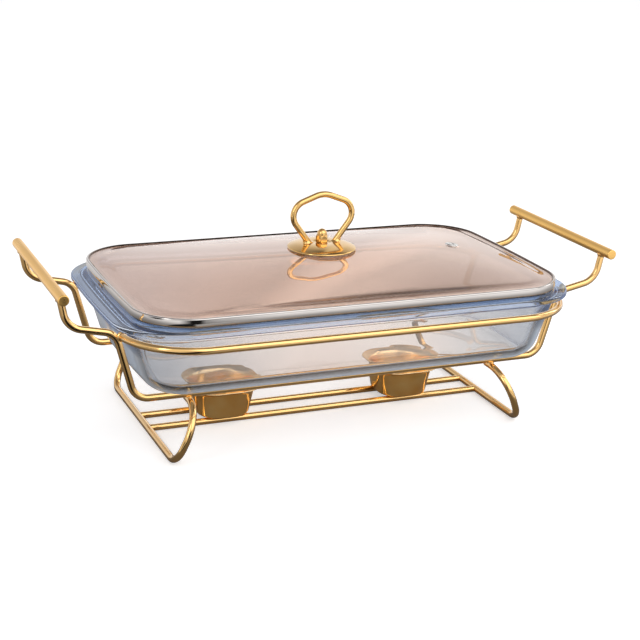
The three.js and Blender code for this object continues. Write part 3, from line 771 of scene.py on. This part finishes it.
def knob_plate():
    """A dome with a soft edge, a hollow for the gasket and a shallow seat for the nut."""
    hollow_r, hollow_h, seat_r, seat_h, steps = 19.3, 1.9, 7.0, PLATE_T - 0.8, 20
    profile = [(HOLE_R, hollow_h), (hollow_r - 0.3, hollow_h), (hollow_r, hollow_h - 0.3), (hollow_r, 0.3)]
    profile += [(hollow_r + 0.3, 0), (PLATE_R - 0.7, 0), (PLATE_R - 0.2, 0.2)]
    profile += [(PLATE_R, 0.5), (PLATE_R - 0.05, 0.85)]
    start = PLATE_R - 0.3
    reaches = [start - k * (start - PLATE_FLAT_R) / steps for k in range(steps + 1)]
    profile += [(reach, dome(reach)) for reach in reaches]
    profile += [(seat_r + 1.1, PLATE_T), (seat_r + 0.8, PLATE_T - 0.1), (seat_r + 0.1, seat_h + 0.05)]
    profile += [(seat_r - 0.2, seat_h), (HOLE_R, seat_h)]
    verts, faces = skin(turned([(r, PLATE_Z + z) for r, z in profile], 112), closed=True)
    make("knob_plate_smooth", verts, faces, knob_gold, "lid", "knob_plate", 40, DISH_SHIFT)


def knob_loop():
    """The bent wire of the knob. Its path is given back for the beads at its feet."""
    foot_x, foot_z, side_x, side_z, top_z = 11.6, 4.0, 35.0, 35.2, 48.2
    half = [((foot_x, 0, PLATE_Z + foot_z), 0), ((side_x, 0, PLATE_Z + side_z), 13)]
    path = even(bent(mirrored(half, [((0, 0, PLATE_Z + top_z), 20)]), math.radians(3)), 4.0)
    verts, faces = skin(tube(path, LOOP_R, 40))
    make("knob_loop_smooth", verts, faces, knob_gold, "lid", "knob_loop", 50, DISH_SHIFT)
    return path


def foot_bead(name, path, end):
    """A bead round a foot of the loop. Its lower ring follows the plate's top."""
    way = inward(path, end)
    lean, ahead, sides = way.x / way.z, 1.6, 36
    rings = []
    for out, up in [(-0.3, 0.0), (1.5, -0.15), (1.0, 0.25), (0.55, 0.75), (0.2, 1.4), (0.0, 2.2), (-0.3, 2.2)]:
        radius = LOOP_R + out
        ring = []
        for k in range(sides):
            x = path[end].x + lean * ahead + radius / way.z * math.cos(TURN * k / sides)
            y = radius * math.sin(TURN * k / sides)
            ring.append((x + lean * up, y, PLATE_Z + dome(math.hypot(x, y)) + up))
        rings.append(ring)
    verts, faces = skin(rings, closed=True)
    make(name, verts, faces, knob_gold, "lid", smooth=60, shift=DISH_SHIFT)


def knob_nut():
    """A hexagon with turned corners, and a dome on it."""
    sides, dome_r, dome_h, dome_z, top = 72, 4.3, 4.5, 7.7, 12.2
    corner = NUT_ACROSS / 2 / math.cos(math.pi / 6)

    def hex_ring(z, cut):
        """A ring of the nut: its flats, or the turned cone where that is smaller."""
        ring = []
        for k in range(sides):
            angle = TURN * k / sides
            flat = NUT_ACROSS / 2 / math.cos((angle % (TURN / 6)) - TURN / 12)
            reach = min(flat, corner - cut)
            ring.append((reach * math.cos(angle), reach * math.sin(angle), NUT_Z + z))
        return ring

    rings = [[(0, 0, NUT_Z)]]
    rings += [hex_ring(z, cut) for z, cut in (
        (0, 0.7), (0.35, 0.35), (0.7, 0.03), (5.9, 0.03), (6.25, 0.35), (6.6, 0.7))]
    profile = [(4.75, 6.65), (4.45, 6.7), (dome_r, 6.85), (dome_r, dome_z)]
    profile += [(dome_r * math.cos(math.radians(a)), dome_z + dome_h * math.sin(math.radians(a)))
                for a in range(10, 90, 10)]
    rings += turned([(radius, NUT_Z + z) for radius, z in profile + [(0, top)]], sides)
    verts, faces = skin(rings)
    make("knob_nut_smooth", verts, faces, knob_gold, "lid", "knob_nut", 22, DISH_SHIFT)


knob_plate()
loop_path = knob_loop()
foot_bead("knob_left_weld", loop_path, 0)
foot_bead("knob_right_weld", loop_path, -1)
knob_nut()

# The screw is hidden, so its solid stays as it is
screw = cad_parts["knob_screw"].data
screw.materials.clear()
screw.materials.append(fitting_steel)


# ---------------------------------------------------------------- studio
def card_mesh(name, corners, material):
    """A single face that isn't part of the object."""
    mesh = bpy.data.meshes.new(name)
    mesh.from_pydata(corners, [], [(0, 1, 2, 3)])
    mesh.materials.append(material)
    obj = bpy.data.objects.new(name, mesh)
    bpy.context.scene.collection.objects.link(obj)
    return obj


def floor_paper():
    """White paper. In mirrors it is darker near the object, as painted shade, brighter far off, and dark in one
    small patch, as a painted dark reflection.
    """
    paper, tree, shader = nodes_of("floor_paper")
    shader.inputs["Roughness"].default_value = 0.9
    shader.inputs["Specular IOR Level"].default_value = 0.1
    path = tree.nodes.new("ShaderNodeLightPath").outputs
    place = object_place(tree)
    reach = vector_worked(tree, "LENGTH", mapped(tree, place, (0.6, 1, 1)))["Value"]
    # A dark patch that only mirrors show: a painted dark reflection
    spot_x, spot_y, spot_squeeze = 0.24, 0.28, 1.6
    aim = mapped(tree, place, (spot_squeeze, 1, 1), (spot_x * spot_squeeze, spot_y, 0))
    mirror_dark_patch = ranged(tree, vector_worked(tree, "LENGTH", aim)["Value"], 0.13, 0.17, 1, 0)

    sheet = mixed(tree, noise(tree, 300.0, 3.0), (0.84, 0.84, 0.845), (0.86, 0.86, 0.86))
    # In mirrors the paper is painted darker near the object: painted shade
    painted_mirror_shade = mixed(tree, ranged(tree, reach, 0.16, 0.52, 0, 1), (0.17, 0.155, 0.14), (0.82, 0.80, 0.78))
    painted_mirror_shade = mixed(tree, ranged(tree, reach, 0.09, 0.13, 1, 0), painted_mirror_shade, (0.36, 0.33, 0.30))
    painted_mirror_shade = mixed(tree, mirror_dark_patch, painted_mirror_shade, (0.01, 0.01, 0.01))
    # Rays that pass through glass count as glossy too
    mirror = worked(tree, "SUBTRACT", path["Is Glossy Ray"], path["Is Transmission Ray"], clamp=True)
    tree.links.new(mixed(tree, mirror, sheet, painted_mirror_shade), shader.inputs["Base Color"])

    far_glow = worked(tree, "MULTIPLY", ranged(tree, reach, 0.30, 1.00, 0.05, 0.9), inverse(tree, mirror_dark_patch))
    indirect = worked(tree, "MULTIPLY_ADD", mirror, far_glow, path["Is Transmission Ray"])
    seen = worked(tree, "MAXIMUM", path["Is Camera Ray"], indirect)
    shader.inputs["Emission Color"].default_value = (1, 1, 1, 1)
    tree.links.new(worked(tree, "MULTIPLY", seen, 0.5), shader.inputs["Emission Strength"])
    return paper


def studio_world():
    """White to the camera and through glass, grey for diffuse light, a room with a dark ceiling in mirrors."""
    world = bpy.data.worlds.new("studio")
    bpy.context.scene.world = world
    world.use_nodes = True
    tree = world.node_tree
    path = tree.nodes.new("ShaderNodeLightPath").outputs
    way = tree.nodes.new("ShaderNodeTexCoord").outputs["Generated"]
    split = parts(tree, way)

    walls = mixed(tree, ranged(tree, split["Z"], 0.02, 0.16, 0, 1), (0.55, 0.53, 0.50), (0.95, 0.93, 0.90))
    shown = mixed(tree, ranged(tree, split["Z"], 0.25, 0.6, 0, 1), (1.0, 1.0, 1.0), (0.60, 0.57, 0.55))
    shown = mixed(tree, ranged(tree, split["Z"], 0.62, 0.8, 0, 1), shown, (0.12, 0.11, 0.10))
    shown = mixed(tree, ranged(tree, split["X"], 0.30, 0.14, 0, 0.4), shown, (0.48, 0.48, 0.53))
    # A bright upright strip behind the object
    turn = math.radians(31)
    flat_way = vector_worked(tree, "NORMALIZE", mapped(tree, way, (1, 1, 0)))["Vector"]
    along = vector_worked(tree, "DOT_PRODUCT", flat_way, (math.sin(turn), math.cos(turn), 0))["Value"]
    shown = mixed(tree, ranged(tree, along, 0.9955, 0.9995, 0, 0.6), shown, (1.0, 0.97, 0.94))
    shown = mixed(tree, ranged(tree, split["Y"], -0.05, -0.4, 0, 1), shown, walls)

    plain = mixed(tree, path["Is Glossy Ray"], (0.58, 0.58, 0.59), shown)
    direct = worked(tree, "MAXIMUM", path["Is Camera Ray"], path["Is Transmission Ray"])
    background = tree.nodes["Background"]
    tree.links.new(mixed(tree, direct, plain, (1.0, 1.0, 1.0)), background.inputs["Color"])
    background.inputs["Strength"].default_value = 1.0


def lamp(name, at, size, power):
    """A softbox that aims at the middle of the object."""
    data = bpy.data.lights.new(name, "AREA")
    data.shape = "RECTANGLE"
    data.size, data.size_y = size
    data.energy = power
    obj = bpy.data.objects.new(name, data)
    obj.location = at
    obj.rotation_euler = (Vector((0, 0, 0.1)) - Vector(at)).to_track_quat("-Z", "Y").to_euler()
    bpy.context.scene.collection.objects.link(obj)


def flag(name, at, turn, size):
    """A dark card that only shows as a reflection, to give polished metal and glass their dark edges."""
    width, height = size[0] / 2, size[1] / 2
    cloth, tree, shader = nodes_of(name)
    shader.inputs["Base Color"].default_value = (0.015, 0.013, 0.012, 1)
    shader.inputs["Roughness"].default_value = 1.0
    shader.inputs["Specular IOR Level"].default_value = 0.0
    aside = worked(tree, "ABSOLUTE", parts(tree, object_place(tree))["X"])
    tree.links.new(ranged(tree, aside, width * 0.25, width, 1, 0), shader.inputs["Alpha"])
    card = card_mesh(name, [(-width, 0, -height), (width, 0, -height),
                            (width, 0, height), (-width, 0, height)], cloth)
    card.location = at
    card.rotation_euler = (0, 0, math.radians(turn))
    card.visible_camera = card.visible_diffuse = card.visible_shadow = card.visible_transmission = False


FLOOR_HALF = 12
floor = card_mesh("floor", [(-FLOOR_HALF, -FLOOR_HALF, 0), (FLOOR_HALF, -FLOOR_HALF, 0),
                            (FLOOR_HALF, FLOOR_HALF, 0), (-FLOOR_HALF, FLOOR_HALF, 0)], floor_paper())
studio_world()
lamp("front_softbox", (0.55, -1.05, 1.15), (1.9, 1.6), 9.0)
lamp("left_softbox", (-1.5, -0.9, 1.0), (0.35, 1.1), 3.5)
lamp("right_softbox", (1.6, 0.1, 1.0), (0.3, 1.1), 3.0)
flag("left_flag", (-1.05, -0.35, 0.07), 70, (0.8, 0.14))
flag("corner_flag", (-0.155, -0.38, 0.07), 0, (0.36, 0.14))
flag("right_flag", (1.15, 0.1, 0.07), -80, (0.6, 0.14))


# ---------------------------------------------------------------- camera
def photo_camera():
    """The camera that was fitted to the photograph, with the focal length in pixels of its picture."""
    azimuth, elevation, roll = (math.radians(a) for a in (-23.72, 18.25, 2.35))
    aim_right, aim_up, distance = 6.25, 75.84, 1265.43
    focal, picture, sensor = 1409.86, 640, 36.0
    behind = Vector((math.sin(azimuth) * math.cos(elevation), -math.cos(azimuth) * math.cos(elevation),
                     math.sin(elevation)))
    flat_right = (-behind).cross(Vector((0, 0, 1))).normalized()
    flat_up = flat_right.cross(-behind)
    right = math.cos(roll) * flat_right + math.sin(roll) * flat_up
    up = -math.sin(roll) * flat_right + math.cos(roll) * flat_up
    place = (aim_right * right + aim_up * up + behind * distance) * MM
    data = bpy.data.cameras.new("camera")
    data.sensor_width = sensor
    data.lens = focal / picture * sensor
    data.clip_start = 0.01
    data.clip_end = 60.0
    camera = bpy.data.objects.new("camera", data)
    camera.matrix_world = Matrix([(right[i], up[i], behind[i], place[i]) for i in range(3)] + [(0, 0, 0, 1)])
    bpy.context.scene.collection.objects.link(camera)
    bpy.context.scene.camera = camera


photo_camera()
bpy.context.scene.view_settings.view_transform = "Standard"
